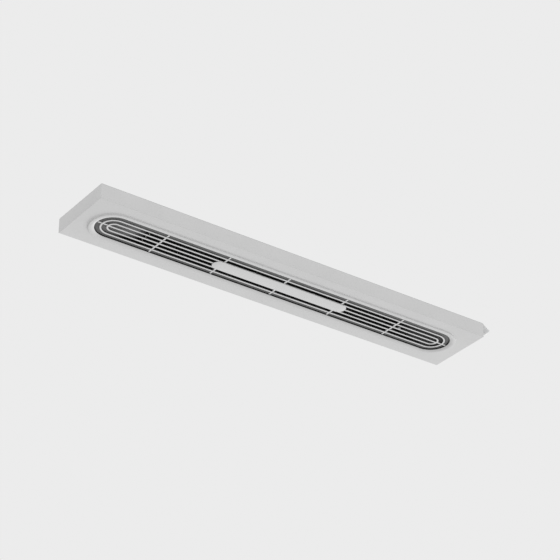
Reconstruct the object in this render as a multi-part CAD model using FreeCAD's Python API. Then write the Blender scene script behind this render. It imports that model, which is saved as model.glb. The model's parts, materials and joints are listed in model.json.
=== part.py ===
import FreeCAD, Part
import math
import os

# Ceiling air grille, 1200 mm long. A folded steel casing hangs under a mounting plate. Air passes a
# bell-mouth bezel, a welded bar guard and a cassette of four louvres, and leaves through the duct opening
# in the mounting plate. A screwdriver adjuster behind the guard turns all four louvres together.
#
# Millimetres, +Z up. The origin is on the ceiling plane, at the centre of the four ceiling screw holes.
# +X runs along the grille towards the fixing ear. "Near" is the -Y side, "far" the +Y side. "Radius" is the
# distance from the stadium's axis: a straight line between the two cap centres.

V = FreeCAD.Vector

# Casing
LENGTH = 1200.0
WIDTH = 200.0
FACE_Z = -42.0
SHEET = 1.2
BEND_R = 1.0
RETURN_FLANGE = 12.0
CAP_TAB = 10.0
CAP_TAB_HALF = 60.0
CAP_SIDE_TAB_Z = (-34.0, -8.0)

# Stadium outline shared by the opening, the bezel and the guard
CAP_X = 500.0

# Bell-mouth bezel
BEZEL_OUTER_R = 65.2
BEZEL_LIP_R = 64.4
BEZEL_EDGE_R = 0.6
BEZEL_FLARE_R = 20.0
BEZEL_THROAT_R = 49.8
BEZEL_DROP = 3.0
BEZEL_WALL = 1.5
BEZEL_SEAT = 3.2
THROAT_TOP_Z = -34.0
FACE_HOLE_GAP = 0.2

# Bar guard
BAR_WIDTH = 4.4
BAR_THICK = 1.2
RING_PITCH = 17.2
RIM_R = BEZEL_THROAT_R - BAR_THICK
CROSS_PITCH = 184.5
PLATE_HALF_LENGTH = 208.0
PLATE_R = 19.0
STUD_X = CROSS_PITCH / 2
STUD_Y = RING_PITCH / 2
STUD_R = 1.5
STRAP_WIDTH = 10.0
NUT_R = 3.0
NUT_HEIGHT = 1.4
STUD_TOP_Z = -38.0

# Rivets and clips that hold rim, bezel and casing together
RIVET_X = (-420.0, -140.0, 140.0, 420.0)
RIVET_Z = -36.2
RIVET_R = 1.6
RIVET_HEAD_R = 2.2
RIVET_HEAD = 1.0
CLIP_THICK = 1.0
CLIP_LENGTH = 16.0
CLIP_FOOT = 8.0

# Mounting plate
PLATE_THICK = 1.2
PLATE_INSET = 1.0
EAR_LENGTH = 43.8
EAR_ROOT_HALF = 98.0
EAR_TIP_HALF = 75.6
EAR_CORNER_R = 3.0
SCREW_HOLE_R = 2.75
CEILING_HOLE_X = 560.0
CEILING_HOLE_Y = 80.0
EAR_HOLE_X = 622.0
EAR_HOLE_Y = 55.0

# Duct path: cassette and plenum share one inner section
DUCT_HALF_X = 402.0
DUCT_HALF_Y = 34.4
WALL = 1.0
CASSETTE_BOTTOM_Z = FACE_Z + 2 * BAR_THICK + WALL
CASSETTE_TOP_Z = -16.0
RAIL_HALF_LENGTH = CAP_X
RAIL_FOOT_Y = 44.0
FLANGE_Y = 46.0
PLENUM_TOP_Z = -3.6
END_FLANGE = 10.0
RAMP_TOP_Z = -20.0
RAMP_SIDE_GAP = 0.2

# Louvres
BLADE_Y = (-24.75, -8.25, 8.25, 24.75)
BLADE_Z = -28.5
BLADE_CHORD = 18.0
BLADE_THICK = 1.0
BLADE_BEAD_R = 0.8
BLADE_BOSS_R = 2.6
BLADE_X = (-400.4, 380.0)
PIN_R = 1.5
PIN_DEPTH = 12.0
PIN_CLEARANCE = 0.05
BUSH_R = 3.0
BUSH_FLANGE_R = 4.5
BUSH_FLANGE = 0.8
BEARING_X = 381.0
PIN_PROUD = 0.4

# Crank arms, tie bar and adjuster
CRANK_R = 6.0
CRANK_HUB_R = 2.8
CRANK_TIP_R = 2.4
CRANK_X = BEARING_X + SHEET + 0.6
CRANK_PIN_R = 1.2
CRANK_PIN_CLEARANCE = 0.1
TIE_X = CRANK_X + SHEET + 0.8
TIE_HALF_HEIGHT = 2.5
TIE_END = 3.0
LUG_HALF_WIDTH = 4.0
SPINDLE_X = 391.0
SPINDLE_R = 2.5
SPINDLE_HUB_R = 3.0
SPINDLE_ARM_Z = -26.6
SPINDLE_ARM_THICK = 1.0
SPINDLE_PIN_TOP_Z = -17.5
LUG_END_X = SPINDLE_X + CRANK_R + 2.6
SHELF_Z = -34.0
SHELF_HALF = 7.0
SHELF_END_X = 398.0
HEAD_R = 4.0
HEAD_Z = (-37.4, -34.4)
SLOT_WIDTH = 1.2
SLOT_DEPTH = 1.2
LOUVRE_OPEN_TO_CLOSED_DEG = 80.0

# Screws
SCREW_R = 1.5
SCREW_HEAD_R = 3.2
SCREW_HEAD = 2.2
RECESS_R = 1.3
RECESS_DEPTH = 1.2
PLENUM_SCREW_X = (-330.0, -110.0, 110.0, 330.0)
CASSETTE_SCREW_X = (-280.0, -60.0, 60.0, 280.0)
FLANGE_SCREW_Y = 41.0
CASING_SCREW_Y = 35.0
CASING_SCREW_Z = -14.0
ANGLE_DROP = 22.0
ANGLE_LEG = 24.0
HANG_CLIP_X = (-380.0, 0.0, 380.0)
HANG_CLIP_HALF = 12.0
HANG_BASE = 14.0
HANG_GRIP = 8.0
HANG_GAP = 2.0

AXIS_X = V(1, 0, 0)
AXIS_Y = V(0, 1, 0)
AXIS_Z = V(0, 0, 1)


def box(x, y, z):
    """Block between the pairs of limits x, y and z."""
    return Part.makeBox(x[1] - x[0], y[1] - y[0], z[1] - z[0], V(x[0], y[0], z[0]))


def rod(radius, start, axis, length):
    return Part.makeCylinder(radius, length, start, axis)


def join(shapes):
    """One clean solid from touching or overlapping shapes."""
    return shapes[0].fuse(shapes[1:]).removeSplitter()


def turned(shape):
    """The same shape at the other end and side: half a turn about the vertical axis."""
    copy = shape.copy()
    copy.rotate(V(0, 0, 0), AXIS_Z, 180)
    return copy


def across(shape):
    """Mirror image on the other long side."""
    return shape.mirror(V(0, 0, 0), AXIS_Y)


def rounded(shape, radius, wanted):
    """Fillet the edges whose centre satisfies the test."""
    edges = [edge for edge in shape.Edges if wanted(edge)]
    return shape.makeFillet(radius, edges)


def stadium_wire(radius, z, half_straight=CAP_X):
    corner = [V(sx * half_straight, sy * radius, z) for sx, sy in ((-1, -1), (1, -1), (1, 1), (-1, 1))]
    right_tip = V(half_straight + radius, 0, z)
    left_tip = V(-half_straight - radius, 0, z)
    return Part.Wire(
        [
            Part.LineSegment(corner[0], corner[1]).toShape(),
            Part.Arc(corner[1], right_tip, corner[2]).toShape(),
            Part.LineSegment(corner[2], corner[3]).toShape(),
            Part.Arc(corner[3], left_tip, corner[0]).toShape(),
        ]
    )


def stadium_slab(radius, z, half_straight=CAP_X):
    face = Part.Face(stadium_wire(radius, z[0], half_straight))
    return face.extrude(V(0, 0, z[1] - z[0]))


def stadium_band(inner, outer, z):
    """Flat stadium ring between two radii."""
    return stadium_slab(outer, z).cut(stadium_slab(inner, z))


def section_arc(centre, radius, start, end):
    """Arc in a section at the near side. Angles are in degrees, from -Y towards -Z."""
    points = []
    for angle in (start, (start + end) / 2, end):
        turn = math.radians(angle)
        points.append(centre + V(0, -math.cos(turn), -math.sin(turn)) * radius)
    return Part.Arc(points[0], points[1], points[2]).toShape()


def polyline(points):
    return [Part.LineSegment(a, b).toShape() for a, b in zip(points, points[1:])]


def stadium_sweep(outline):
    """Carry a closed outline, drawn at the near side in the YZ plane, once round the stadium."""
    section = Part.Face(outline)
    cap = section.revolve(V(0, 0, 0), AXIS_Z, 180)
    cap.translate(V(CAP_X, 0, 0))
    side = section.copy()
    side.translate(V(-CAP_X, 0, 0))
    side = side.extrude(V(2 * CAP_X, 0, 0))
    return join([cap, side, turned(cap), turned(side)])


def face_casing():
    """Channel folded from one sheet: front face, two long walls and inward return flanges."""
    half = WIDTH / 2
    x = (-LENGTH / 2 + SHEET, LENGTH / 2 - SHEET)
    top = -PLATE_THICK
    outer = box(x, (-half, half), (FACE_Z, top))
    outer = rounded(outer, BEND_R, lambda e: e.BoundBox.XLength > WIDTH)
    hollow = box(x, (-half + SHEET, half - SHEET), (FACE_Z + SHEET, top - SHEET))
    mouth = box(x, (-half + SHEET + RETURN_FLANGE, half - SHEET - RETURN_FLANGE), (top - SHEET, top))
    hole_r = BEZEL_THROAT_R + BEZEL_WALL + FACE_HOLE_GAP
    return outer.cut([hollow, mouth, stadium_slab(hole_r, (FACE_Z, FACE_Z + SHEET))])


def end_cap(with_flange):
    """Right-hand end wall with folded tabs that lie inside the casing."""
    half = WIDTH / 2
    end = LENGTH / 2
    inside = (end - SHEET - CAP_TAB, end - SHEET)
    plate = box((end - SHEET, end), (-half, half), (FACE_Z, -PLATE_THICK))
    plate = rounded(plate, BEND_R * 0.8, lambda e: e.CenterOfMass.x > end - SHEET / 4)
    tab_face = FACE_Z + SHEET
    pieces = [plate, box(inside, (-CAP_TAB_HALF, CAP_TAB_HALF), (tab_face, tab_face + SHEET))]
    side_tab = box(inside, (-half + SHEET, -half + 2 * SHEET), CAP_SIDE_TAB_Z)
    pieces += [side_tab, across(side_tab)]
    if with_flange:
        flange_y = half - SHEET - RETURN_FLANGE
        pieces.append(box(inside, (-flange_y, flange_y), (-PLATE_THICK - SHEET, -PLATE_THICK)))
    return join(pieces)


def casing_screw_points():
    return [V(LENGTH / 2, y, CASING_SCREW_Z) for y in (-CASING_SCREW_Y, CASING_SCREW_Y)]


def end_cap_right():
    holes = [rod(SCREW_R + 0.2, point, V(-1, 0, 0), SHEET) for point in casing_screw_points()]
    return end_cap(False).cut(holes)


def fixing_angle():
    """Angle under the mounting plate that takes the two casing screws."""
    back = LENGTH / 2 - SHEET
    y = (-CAP_TAB_HALF, CAP_TAB_HALF)
    leg = box((back - SHEET, back), y, (-PLATE_THICK - ANGLE_DROP, -PLATE_THICK))
    foot = box((back - ANGLE_LEG, back), y, (-PLATE_THICK - SHEET, -PLATE_THICK))
    holes = [rod(SCREW_R, point, V(-1, 0, 0), 2 * SHEET) for point in casing_screw_points()]
    return join([leg, foot]).cut(holes)


def screw(seat, axis, grip):
    """Pan-head screw: seat is where the head sits, axis points along the shank."""
    shank = rod(SCREW_R, seat, axis, grip)
    head = rod(SCREW_HEAD_R, seat - axis * SCREW_HEAD, axis, SCREW_HEAD)
    top = seat - axis * SCREW_HEAD
    head = rounded(head, SCREW_HEAD * 0.4, lambda e: (e.CenterOfMass - top).Length < 0.01)
    body = join([head, shank])
    return body.cut(cross_recess(top, axis))


def cross_recess(top, axis):
    """Cross-shaped driver recess cut into a screw head."""
    half = RECESS_R / 3
    if abs(axis.z) > 0.5:
        z = sorted((top.z, top.z + axis.z * RECESS_DEPTH))
        one = box((top.x - RECESS_R, top.x + RECESS_R), (top.y - half, top.y + half), z)
        two = box((top.x - half, top.x + half), (top.y - RECESS_R, top.y + RECESS_R), z)
    else:
        x = sorted((top.x, top.x + axis.x * RECESS_DEPTH))
        one = box(x, (top.y - RECESS_R, top.y + RECESS_R), (top.z - half, top.z + half))
        two = box(x, (top.y - half, top.y + half), (top.z - RECESS_R, top.z + RECESS_R))
    return one.fuse(two)


def casing_screws():
    return [screw(point, V(-1, 0, 0), 4 * SHEET) for point in casing_screw_points()]


def hang_profile(flange_edge):
    """Side view of a hang clip in the XZ plane; flange_edge is the x of the return flange's free edge."""
    base_z = -PLATE_THICK
    step = flange_edge + HANG_GAP
    return [
        V(step + HANG_BASE, 0, base_z),
        V(step + HANG_BASE, 0, base_z - SHEET),
        V(step + SHEET, 0, base_z - SHEET),
        V(step + SHEET, 0, base_z - 2 * SHEET),
        V(flange_edge - HANG_GRIP, 0, base_z - 2 * SHEET),
        V(flange_edge - HANG_GRIP, 0, base_z - SHEET),
        V(step, 0, base_z - SHEET),
        V(step, 0, base_z),
        V(step + HANG_BASE, 0, base_z),
    ]


def hang_clip(flange_edge, half_width):
    """Folded strip under the mounting plate whose lip carries a return flange of the casing."""
    strip = Part.Face(Part.Wire(polyline(hang_profile(flange_edge)))).extrude(V(0, 2 * half_width, 0))
    strip.translate(V(0, -half_width, 0))
    return strip


def hook_bracket():
    """Long hook that carries the left end cap's flange."""
    return hang_clip(-LENGTH / 2 + SHEET + CAP_TAB, CAP_TAB_HALF)


def hang_clips():
    clip = hang_clip(-WIDTH / 2 + SHEET + RETURN_FLANGE, HANG_CLIP_HALF)
    clip.rotate(V(0, 0, 0), AXIS_Z, 90)
    clips = []
    for x in HANG_CLIP_X:
        near = clip.copy()
        near.translate(V(x, 0, 0))
        clips += [near, across(near)]
    return clips


def bezel_outline():
    """Section of the bell-mouth lip and its throat wall, drawn at the near side."""

    def at(radius, z):
        return V(0, -radius, z)

    low = FACE_Z - BEZEL_DROP
    flare_angle = math.acos(1 - BEZEL_DROP / BEZEL_FLARE_R)
    flare_r = BEZEL_THROAT_R + BEZEL_FLARE_R * math.sin(flare_angle)
    inside_r = BEZEL_THROAT_R + BEZEL_WALL
    edge_centre = at(BEZEL_LIP_R - BEZEL_EDGE_R, low + BEZEL_EDGE_R)
    flare_centre = at(flare_r, low + BEZEL_FLARE_R)
    edges = [
        section_arc(edge_centre, BEZEL_EDGE_R, 0, 90),
        section_arc(flare_centre, BEZEL_FLARE_R, 90, 90 + math.degrees(flare_angle)),
    ]
    edges += polyline([at(BEZEL_LIP_R - BEZEL_EDGE_R, low), at(flare_r, low)])
    edges += polyline(
        [
            at(BEZEL_THROAT_R, FACE_Z),
            at(BEZEL_THROAT_R, THROAT_TOP_Z),
            at(inside_r, THROAT_TOP_Z),
            at(inside_r, FACE_Z),
            at(inside_r + BEZEL_SEAT, FACE_Z),
            at(flare_r, low + BEZEL_WALL),
            at(BEZEL_LIP_R - BEZEL_WALL, low + BEZEL_WALL),
            at(BEZEL_LIP_R - BEZEL_WALL, FACE_Z),
            at(BEZEL_OUTER_R, FACE_Z),
            at(BEZEL_LIP_R, low + BEZEL_EDGE_R),
        ]
    )
    return Part.Wire(Part.__sortEdges__(edges))


def rivet_shanks():
    """Radial cylinders where the rim rivets pass the rim, the bezel and the clips."""
    grip = BAR_THICK + BEZEL_WALL + CLIP_THICK
    near = [rod(RIVET_R, V(x, -RIM_R, RIVET_Z), V(0, -1, 0), grip) for x in RIVET_X]
    return near + [across(shank) for shank in near]


def bezel_ring():
    return stadium_sweep(bezel_outline()).cut(rivet_shanks())


def guard_rim():
    """Upright stadium band that carries the bar ends."""
    return stadium_band(RIM_R, BEZEL_THROAT_R, (FACE_Z, THROAT_TOP_Z)).cut(rivet_shanks())


def rim_rivets():
    tail_start = RIM_R + BAR_THICK + BEZEL_WALL + CLIP_THICK
    rivets = []
    for x in RIVET_X:
        head = rod(RIVET_HEAD_R, V(x, -RIM_R, RIVET_Z), AXIS_Y, RIVET_HEAD)
        head = rounded(head, RIVET_HEAD * 0.6, lambda e: abs(e.CenterOfMass.y + RIM_R - RIVET_HEAD) < 0.01)
        shank = rod(RIVET_R, V(x, -RIM_R, RIVET_Z), V(0, -1, 0), tail_start - RIM_R)
        tail = rod(RIVET_HEAD_R, V(x, -tail_start, RIVET_Z), V(0, -1, 0), RIVET_HEAD)
        rivet = join([head, shank, tail])
        rivets += [rivet, across(rivet)]
    return rivets


def bezel_clips():
    """Angle clips behind the bezel's throat wall that pull the lip against the casing."""
    leg_r = BEZEL_THROAT_R + BEZEL_WALL
    floor_z = FACE_Z + SHEET
    clips = []
    for x in RIVET_X:
        span = (x - CLIP_LENGTH / 2, x + CLIP_LENGTH / 2)
        leg = box(span, (-leg_r - CLIP_THICK, -leg_r), (floor_z, THROAT_TOP_Z))
        foot = box(span, (-leg_r - CLIP_FOOT, -leg_r), (floor_z, floor_z + CLIP_THICK))
        clip = join([leg, foot]).cut(rod(RIVET_R, V(x, -leg_r, RIVET_Z), V(0, -1, 0), CLIP_THICK))
        clips += [clip, across(clip)]
    return clips


FRONT_LAYER = (FACE_Z, FACE_Z + BAR_THICK)
BACK_LAYER = (FACE_Z + BAR_THICK, FACE_Z + 2 * BAR_THICK)


def guard_ring(radius):
    return stadium_band(radius - BAR_WIDTH / 2, radius + BAR_WIDTH / 2, FRONT_LAYER)


def spine_bar():
    """Bar on the axis, its ends shaped to the inside of the inner ring."""
    bar = box((-CAP_X - RING_PITCH, CAP_X + RING_PITCH), (-BAR_WIDTH / 2, BAR_WIDTH / 2), FRONT_LAYER)
    return bar.common(stadium_slab(RING_PITCH - BAR_WIDTH / 2, FRONT_LAYER))


def cross_bar(x):
    return box((x - BAR_WIDTH / 2, x + BAR_WIDTH / 2), (-RIM_R, RIM_R), BACK_LAYER)


def end_tie():
    """Right-hand axial bar behind the rings, from the inner ring to the rim."""
    start = CAP_X + RING_PITCH - BAR_WIDTH / 2
    bar = box((start, CAP_X + RIM_R + 1), (-BAR_WIDTH / 2, BAR_WIDTH / 2), BACK_LAYER)
    return bar.common(stadium_slab(RIM_R, BACK_LAYER))


def stud_points(z):
    return [V(sx * STUD_X, sy * STUD_Y, z) for sx in (-1, 1) for sy in (-1, 1)]


def centre_plate():
    """Blank stadium plate in front of the bars, with four welded studs."""
    plate = stadium_slab(PLATE_R, (FACE_Z - BAR_THICK, FACE_Z), PLATE_HALF_LENGTH - PLATE_R)
    front = FACE_Z - BAR_THICK
    plate = rounded(plate, BAR_THICK / 3, lambda e: abs(e.CenterOfMass.z - front) < 0.01)
    studs = [rod(STUD_R, point, AXIS_Z, STUD_TOP_Z - FACE_Z) for point in stud_points(FACE_Z)]
    return join([plate] + studs)


def plate_straps():
    """Straps behind the inner ring that the centre plate's studs pass through."""
    reach = RING_PITCH + BAR_WIDTH / 2
    straps = []
    for x in (-STUD_X, STUD_X):
        strap = box((x - STRAP_WIDTH / 2, x + STRAP_WIDTH / 2), (-reach, reach), BACK_LAYER)
        holes = [rod(STUD_R, point, AXIS_Z, BAR_THICK) for point in stud_points(BACK_LAYER[0])]
        straps.append(strap.cut(holes))
    return straps


def plate_nuts():
    nuts = []
    for point in stud_points(BACK_LAYER[1]):
        hexagon = Part.Face(Part.makePolygon(hexagon_points(point, NUT_R))).extrude(V(0, 0, NUT_HEIGHT))
        nuts.append(hexagon.cut(rod(STUD_R, point, AXIS_Z, NUT_HEIGHT)))
    return nuts


def hexagon_points(centre, radius):
    angles = [math.radians(60 * step) for step in range(7)]
    return [centre + V(radius * math.cos(a), radius * math.sin(a), 0) for a in angles]


def aperture_plate():
    """Blank margin behind the outer lane; its hole is the louvre aperture."""
    return stadium_band(DUCT_HALF_Y, RIM_R, (BACK_LAYER[1], CASSETTE_BOTTOM_Z))


def end_ramp():
    """Right-hand ramp: a half-round landing and a scoop that rises to the cassette's closing plate."""
    top_x = DUCT_HALF_X + SHEET
    run = CAP_X - top_x
    rise = RAMP_TOP_Z - CASSETTE_BOTTOM_Z
    radius = (run * run + rise * rise) / (2 * rise)
    centre = V(CAP_X, 0, CASSETTE_BOTTOM_Z + radius)

    def on_arc(arc_radius, angle):
        return centre + V(-arc_radius * math.sin(angle), 0, -arc_radius * math.cos(angle))

    sweep = math.asin(run / radius)
    edges = []
    for arc_radius in (radius, radius - WALL):
        points = [on_arc(arc_radius, sweep * share) for share in (0, 0.5, 1)]
        edges.append(Part.Arc(points[0], points[1], points[2]).toShape())
    for angle in (0, sweep):
        edges += polyline([on_arc(radius, angle), on_arc(radius - WALL, angle)])
    half_width = DUCT_HALF_Y - RAMP_SIDE_GAP
    section = Part.Face(Part.Wire(Part.__sortEdges__(edges)))
    section.translate(V(0, -half_width, 0))
    scoop = section.extrude(V(0, 2 * half_width, 0))
    landing = rod(RAIL_FOOT_Y, V(CAP_X, 0, CASSETTE_BOTTOM_Z), AXIS_Z, WALL)
    landing = landing.common(box((CAP_X, LENGTH / 2), (-WIDTH, WIDTH), (FACE_Z, 0)))
    return join([scoop, landing])


def flange_screw_holes(positions, z):
    """Near-side clearance cylinders for a row of flange screws."""
    return [rod(SCREW_R, V(x, -FLANGE_SCREW_Y, z[0]), AXIS_Z, z[1] - z[0]) for x in positions]


def cassette_rail():
    """Near-side rail of the cassette: upright web with a foot and a top flange."""
    x = (-RAIL_HALF_LENGTH, RAIL_HALF_LENGTH)
    web = box(x, (-DUCT_HALF_Y - WALL, -DUCT_HALF_Y), (CASSETTE_BOTTOM_Z, CASSETTE_TOP_Z))
    foot = box(x, (-RAIL_FOOT_Y, -DUCT_HALF_Y), (CASSETTE_BOTTOM_Z, CASSETTE_BOTTOM_Z + WALL))
    top = box(x, (-FLANGE_Y, -DUCT_HALF_Y), (CASSETTE_TOP_Z - WALL, CASSETTE_TOP_Z))
    holes = flange_screw_holes(CASSETTE_SCREW_X, (CASSETTE_TOP_Z - WALL, CASSETTE_TOP_Z))
    return join([web, foot, top]).cut(holes)


def upright_plate(x, z):
    """Cassette cross plate between the rails with a folded top flange that points outwards."""
    y = (-DUCT_HALF_Y, DUCT_HALF_Y)
    side = 1 if x[0] > 0 else -1
    outer = max(x, key=abs)
    flange = sorted((outer, outer + side * END_FLANGE))
    return join([box(x, y, z), box(flange, y, (z[1] - WALL, z[1]))])


def pivot_points(x):
    return [V(x, y, BLADE_Z) for y in BLADE_Y]


def cassette_end_left():
    x = (-DUCT_HALF_X - SHEET, -DUCT_HALF_X)
    plate = upright_plate(x, (CASSETTE_BOTTOM_Z, CASSETTE_TOP_Z))
    return plate.cut([rod(BUSH_R, point, AXIS_X, SHEET) for point in pivot_points(x[0])])


def cassette_end_right():
    return upright_plate((DUCT_HALF_X, DUCT_HALF_X + SHEET), (CASSETTE_BOTTOM_Z, CASSETTE_TOP_Z))


def bearing_plate():
    """Plate that carries the right-hand pivots, with the cranks on its outer side."""
    y = (-DUCT_HALF_Y, DUCT_HALF_Y)
    plate = box((BEARING_X, BEARING_X + SHEET), y, (CASSETTE_BOTTOM_Z, SPINDLE_PIN_TOP_Z - 2))
    return plate.cut([rod(BUSH_R, point, AXIS_X, SHEET) for point in pivot_points(BEARING_X)])


def bush(point, inward):
    """Flanged plastic bush; point is on the plate's inner face, inward points to the blade."""
    outward = inward * -1
    sleeve = rod(BUSH_R, point, outward, SHEET + PIN_PROUD)
    flange = rod(BUSH_FLANGE_R, point, inward, BUSH_FLANGE)
    bore_start = point + inward * BUSH_FLANGE
    bore = rod(PIN_R + PIN_CLEARANCE, bore_start, outward, BUSH_FLANGE + SHEET + PIN_PROUD)
    return join([sleeve, flange]).cut(bore)


def pivot_bushes_left():
    return [bush(point, AXIS_X) for point in pivot_points(-DUCT_HALF_X)]


def pivot_bushes_right():
    return [bush(point, V(-1, 0, 0)) for point in pivot_points(BEARING_X)]


def louvre_blade(y):
    """Extruded blade, upright when open: flat web, beaded edges and a tubular boss on the pivot axis."""
    length = BLADE_X[1] - BLADE_X[0]
    reach = BLADE_CHORD / 2 - BLADE_BEAD_R
    start = V(BLADE_X[0], y, BLADE_Z)
    web = box(BLADE_X, (y - BLADE_THICK / 2, y + BLADE_THICK / 2), (BLADE_Z - reach, BLADE_Z + reach))
    beads = [rod(BLADE_BEAD_R, start + V(0, 0, side * reach), AXIS_X, length) for side in (-1, 1)]
    boss = rod(BLADE_BOSS_R, start, AXIS_X, length)
    return join([web, boss] + beads).cut(rod(PIN_R, start, AXIS_X, length))


def pivot_pins(y):
    """The two steel pins pressed into a blade's boss."""
    left_start = -DUCT_HALF_X - SHEET - PIN_PROUD
    left = rod(PIN_R, V(left_start, y, BLADE_Z), AXIS_X, BLADE_X[0] + PIN_DEPTH - left_start)
    right_end = CRANK_X + SHEET + PIN_PROUD
    right_start = BLADE_X[1] - PIN_DEPTH
    right = rod(PIN_R, V(right_start, y, BLADE_Z), AXIS_X, right_end - right_start)
    return [left, right]


def arm_blank(axis_start, axis, tip_offset, hub_r, thick):
    """Link blank: a hub, a smaller tip and the tangent bar between them, thick along axis."""
    hub = rod(hub_r, axis_start, axis, thick)
    tip = rod(CRANK_TIP_R, axis_start + tip_offset, axis, thick)
    side = axis.cross(tip_offset).normalize() * CRANK_TIP_R
    corners = [axis_start - side, axis_start + side]
    corners += [axis_start + tip_offset + side, axis_start + tip_offset - side]
    web = Part.Face(Part.makePolygon(corners + corners[:1])).extrude(axis * thick)
    return join([hub, tip, web])


def crank_arm(y):
    """Upright crank on a blade's right-hand pin, with the stub that drives the tie bar."""
    hub = V(CRANK_X, y, BLADE_Z)
    arm = arm_blank(hub, AXIS_X, V(0, 0, CRANK_R), CRANK_HUB_R, SHEET)
    stub_length = TIE_X + SHEET + 0.6 - CRANK_X
    stub = rod(CRANK_PIN_R, hub + V(0, 0, CRANK_R), AXIS_X, stub_length)
    return join([arm, stub]).cut(rod(PIN_R, hub, AXIS_X, SHEET))


def tie_bar():
    """Bar that links the four cranks; its lug has the slot that the adjuster's pin slides in."""
    pivot_z = BLADE_Z + CRANK_R
    z = (pivot_z - TIE_HALF_HEIGHT, pivot_z + TIE_HALF_HEIGHT)
    web = box((TIE_X, TIE_X + SHEET), (BLADE_Y[0] - TIE_END, BLADE_Y[-1] + TIE_END), z)
    lug = box((TIE_X, LUG_END_X), (-LUG_HALF_WIDTH, LUG_HALF_WIDTH), (z[1], z[1] + SHEET))
    slot_r = PIN_R + CRANK_PIN_CLEARANCE
    slot_x = (slot_start_x(), SPINDLE_X + CRANK_R)
    slot = box(slot_x, (-slot_r, slot_r), (z[1], z[1] + SHEET))
    ends = [rod(slot_r, V(x, 0, z[1]), AXIS_Z, SHEET) for x in slot_x]
    hole_r = CRANK_PIN_R + CRANK_PIN_CLEARANCE
    holes = [rod(hole_r, V(TIE_X, y, pivot_z), AXIS_X, SHEET) for y in BLADE_Y]
    return join([web, lug]).cut([slot] + ends + holes)


def slot_start_x():
    """Where the adjuster's pin is with the louvres closed."""
    return SPINDLE_X + CRANK_R * math.cos(math.radians(LOUVRE_OPEN_TO_CLOSED_DEG))


def adjuster_bracket():
    """Angle on the bearing plate whose shelf carries the adjuster spindle."""
    y = (-SHELF_HALF, SHELF_HALF)
    leg_x = BEARING_X + SHEET
    leg = box((leg_x, leg_x + SHEET), y, (CASSETTE_BOTTOM_Z + 1, SHELF_Z + SHEET))
    shelf = box((leg_x, SHELF_END_X), y, (SHELF_Z, SHELF_Z + SHEET))
    hole = rod(SPINDLE_R + 1, V(SPINDLE_X, 0, SHELF_Z), AXIS_Z, SHEET)
    return join([leg, shelf]).cut(hole)


def adjuster_bush():
    """Flanged plastic bush in the shelf."""
    start = V(SPINDLE_X, 0, SHELF_Z)
    sleeve = rod(SPINDLE_R + 1, start, AXIS_Z, SHEET)
    flange = rod(SPINDLE_R + 2, V(SPINDLE_X, 0, SHELF_Z + SHEET), AXIS_Z, BUSH_FLANGE)
    bore = rod(SPINDLE_R + PIN_CLEARANCE, start, AXIS_Z, SHEET + BUSH_FLANGE)
    return join([sleeve, flange]).cut(bore)


def adjuster_spindle():
    """Slotted head below the shelf, shaft through the bush, arm and eccentric pin above."""
    centre = V(SPINDLE_X, 0, 0)
    head = rod(HEAD_R, centre + V(0, 0, HEAD_Z[0]), AXIS_Z, HEAD_Z[1] - HEAD_Z[0])
    slot_y = (-SLOT_WIDTH / 2, SLOT_WIDTH / 2)
    slot = box((SPINDLE_X - HEAD_R, SPINDLE_X + HEAD_R), slot_y, (HEAD_Z[0], HEAD_Z[0] + SLOT_DEPTH))
    shaft = rod(SPINDLE_R, centre + V(0, 0, HEAD_Z[1]), AXIS_Z, SPINDLE_ARM_Z - HEAD_Z[1])
    arm_start = centre + V(0, 0, SPINDLE_ARM_Z)
    arm = arm_blank(arm_start, AXIS_Z, V(CRANK_R, 0, 0), SPINDLE_HUB_R, SPINDLE_ARM_THICK)
    pin_start = arm_start + V(CRANK_R, 0, 0)
    pin = rod(PIN_R, pin_start, AXIS_Z, SPINDLE_PIN_TOP_Z - SPINDLE_ARM_Z)
    return join([head, shaft, arm, pin]).cut(slot)


def adjuster_ring():
    """Push-on retaining ring on the spindle, just above the bush."""
    bottom = V(SPINDLE_X, 0, SHELF_Z + SHEET + BUSH_FLANGE + 0.2)
    return rod(SPINDLE_R + 1.8, bottom, AXIS_Z, 0.8).cut(rod(SPINDLE_R, bottom, AXIS_Z, 0.8))


def plenum_wall():
    """Near-side wall from the cassette to the seal, flanged at both edges."""
    x = (-DUCT_HALF_X, DUCT_HALF_X)
    web = box(x, (-DUCT_HALF_Y - WALL, -DUCT_HALF_Y), (CASSETTE_TOP_Z, PLENUM_TOP_Z))
    foot = box(x, (-FLANGE_Y, -DUCT_HALF_Y), (CASSETTE_TOP_Z, CASSETTE_TOP_Z + WALL))
    top = box(x, (-FLANGE_Y, -DUCT_HALF_Y), (PLENUM_TOP_Z - WALL, PLENUM_TOP_Z))
    holes = flange_screw_holes(CASSETTE_SCREW_X, (CASSETTE_TOP_Z, CASSETTE_TOP_Z + WALL))
    holes += flange_screw_holes(PLENUM_SCREW_X, (PLENUM_TOP_Z - WALL, PLENUM_TOP_Z))
    return join([web, foot, top]).cut(holes)


def plenum_end():
    """Right-hand plenum end."""
    return upright_plate((DUCT_HALF_X, DUCT_HALF_X + WALL), (CASSETTE_TOP_Z, PLENUM_TOP_Z))


def plenum_seal():
    """Foam frame between the plenum flanges and the mounting plate."""
    end = DUCT_HALF_X + WALL + END_FLANGE
    z = (PLENUM_TOP_Z, -PLATE_THICK)
    frame = box((-end, end), (-FLANGE_Y, FLANGE_Y), z)
    frame = frame.cut(box((-DUCT_HALF_X, DUCT_HALF_X), (-DUCT_HALF_Y, DUCT_HALF_Y), z))
    holes = flange_screw_holes(PLENUM_SCREW_X, z)
    return frame.cut(holes + [across(hole) for hole in holes])


def both_sides(near):
    return near + [across(shape) for shape in near]


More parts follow.
